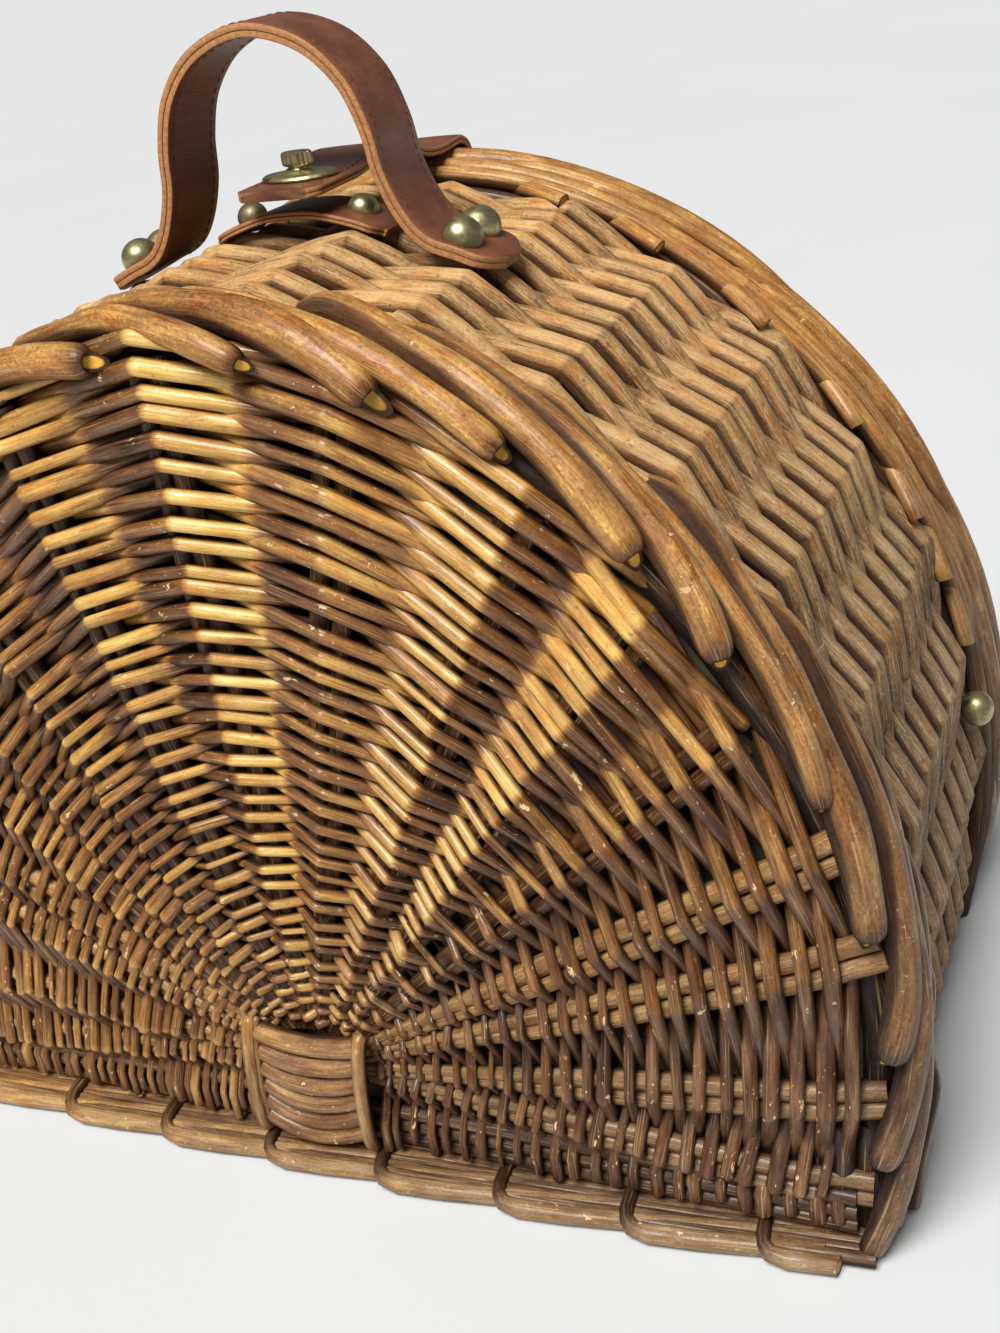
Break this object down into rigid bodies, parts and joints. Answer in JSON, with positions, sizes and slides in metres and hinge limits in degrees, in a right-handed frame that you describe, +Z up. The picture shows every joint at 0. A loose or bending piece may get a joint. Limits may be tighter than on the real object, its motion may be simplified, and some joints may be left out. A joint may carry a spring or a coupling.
{
  "type": "picnic basket",
  "caption": "Half-barrel wicker picnic basket with a fan-woven front, a hinged D-shaped lid, a leather carrying handle and a turn-knob hasp.",
  "frame": {"origin": "on the floor under the middle of the basket's bounding box", "axes": "+Z up, the fan-woven front faces -Y, the lid faces +Y, +X is to the right seen from the front"},
  "size_m": [0.3934, 0.2163, 0.353],
  "materials": {
    "varnished_willow": "glossy varnish over golden to dark brown willow",
    "dry_willow": "matte, dusty grey-tan willow",
    "border_willow": "worn satin varnish over orange-brown willow",
    "leather": "smooth reddish brown leather with tan edges",
    "brass": "antique brass",
    "lining_cloth": "plain olive weave"
  },
  "bodies": {
    "case": {"front_panel": "varnished_willow", "fan_hub": "varnished_willow", "hub_band_left": "varnished_willow", "hub_band_right": "varnished_willow", "barrel_wall": "dry_willow", "base_panel": "dry_willow", "lining_front": "lining_cloth", "front_border_01": "border_willow", "front_border_02": "border_willow", "front_border_03": "border_willow", "front_border_04": "border_willow", "front_border_05": "border_willow", "front_border_06": "border_willow", "front_border_07": "border_willow", "front_border_08": "border_willow", "front_border_09": "border_willow", "front_border_10": "border_willow", "front_border_11": "border_willow", "front_border_12": "border_willow", "front_border_13": "border_willow", "front_border_14": "border_willow", "front_border_15": "border_willow", "front_border_16": "border_willow", "front_border_17": "border_willow", "front_border_18": "border_willow", "front_border_19": "border_willow", "foot_rod_1": "border_willow", "foot_rod_2": "border_willow", "foot_rod_3": "border_willow", "foot_rod_4": "border_willow", "foot_rod_5": "border_willow", "foot_rod_6": "border_willow", "foot_rod_7": "border_willow", "foot_rod_8": "border_willow", "foot_rail": "border_willow", "mouth_rod_1": "border_willow", "mouth_rod_2": "border_willow", "rear_base_rod": "border_willow", "hinge_loop_left": "border_willow", "hinge_loop_right": "border_willow", "handle_strap": "leather", "handle_rivet_1": "brass", "handle_rivet_2": "brass", "handle_rivet_3": "brass", "handle_rivet_4": "brass", "catch_tab": "leather", "catch_rivet_left": "brass", "catch_rivet_right": "brass", "catch_stud": "brass", "side_rivet_left": "brass", "side_rivet_right": "brass"},
    "lid": {"lid_panel": "varnished_willow", "lid_hub": "varnished_willow", "lid_hoop_1": "border_willow", "lid_hoop_2": "border_willow", "lid_hoop_3": "border_willow", "lid_hinge_rod": "border_willow", "hasp_strap": "leather", "hasp_plate": "brass"},
    "knob": {"turn_knob": "brass"}
  },
  "joints": [
    {"name": "lid_hinge", "type": "hinge", "parent": "case", "child": "lid", "pos_m": [0, 0.098, 0.019], "axis": [-1, 0, 0], "range_deg": [0, 90]},
    {"name": "knob_turn", "type": "hinge", "parent": "lid", "child": "knob", "pos_m": [0, 0, 0.31], "axis": [0, 0, 1], "range_deg": [0, 90]}
  ]
}
